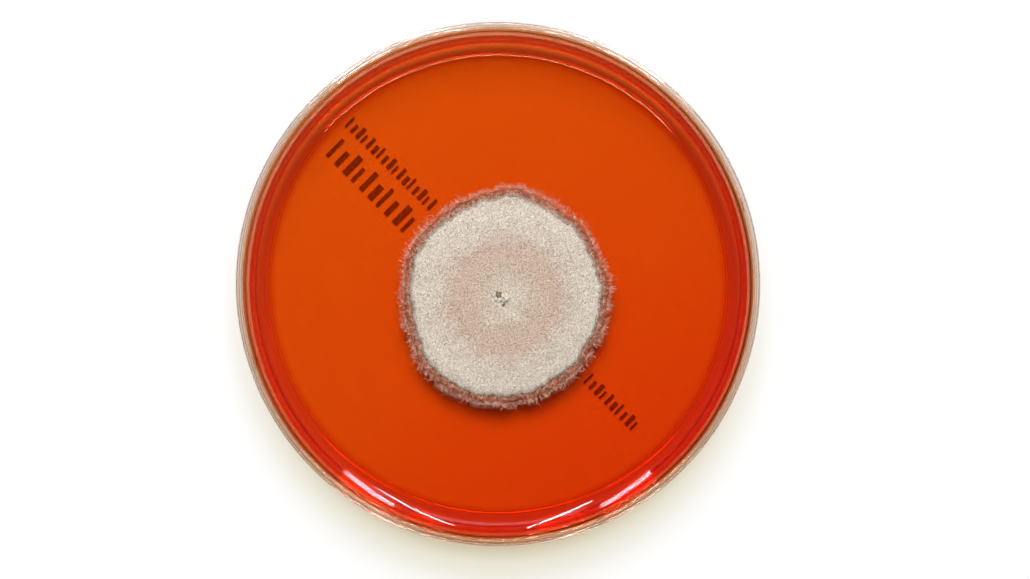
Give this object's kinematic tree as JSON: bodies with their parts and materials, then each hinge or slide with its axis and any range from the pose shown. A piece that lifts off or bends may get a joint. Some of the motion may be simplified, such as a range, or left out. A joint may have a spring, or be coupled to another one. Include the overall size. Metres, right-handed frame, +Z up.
{
  "type": "petri dish",
  "caption": "Round shallow culture dish with a loose lift-off lid, a layer of orange agar and one round felted mould colony.",
  "frame": {"origin": "centre of the dish on the surface that it stands on", "axes": "+Z up through the centre of the lid, the way the lid lifts off; +Y away from the viewer's lower edge when the dish is seen from above"},
  "size_m": [0.092, 0.092, 0.016],
  "materials": {
    "dish_plastic": "clear polished polystyrene",
    "lid_plastic": "clear polished polystyrene",
    "agar": "wet translucent orange gel",
    "colony_margin": "thin hairy growth",
    "colony_felt": "matt cream felt",
    "inoculum": "matt crumbly lump",
    "ink": "dark brown printed ink"
  },
  "bodies": {
    "dish": {"dish_base": "dish_plastic", "agar": "agar", "substrate_mycelium": "colony_margin", "aerial_mycelium": "colony_felt", "inoculum_plug": "inoculum", "ink_marks": "ink"},
    "lid": {"lid": "lid_plastic"}
  },
  "joints": [
    {"name": "lid_lift", "type": "slide", "parent": "dish", "child": "lid", "axis": [0, 0, 1], "range_m": [0, 0.03]}
  ]
}
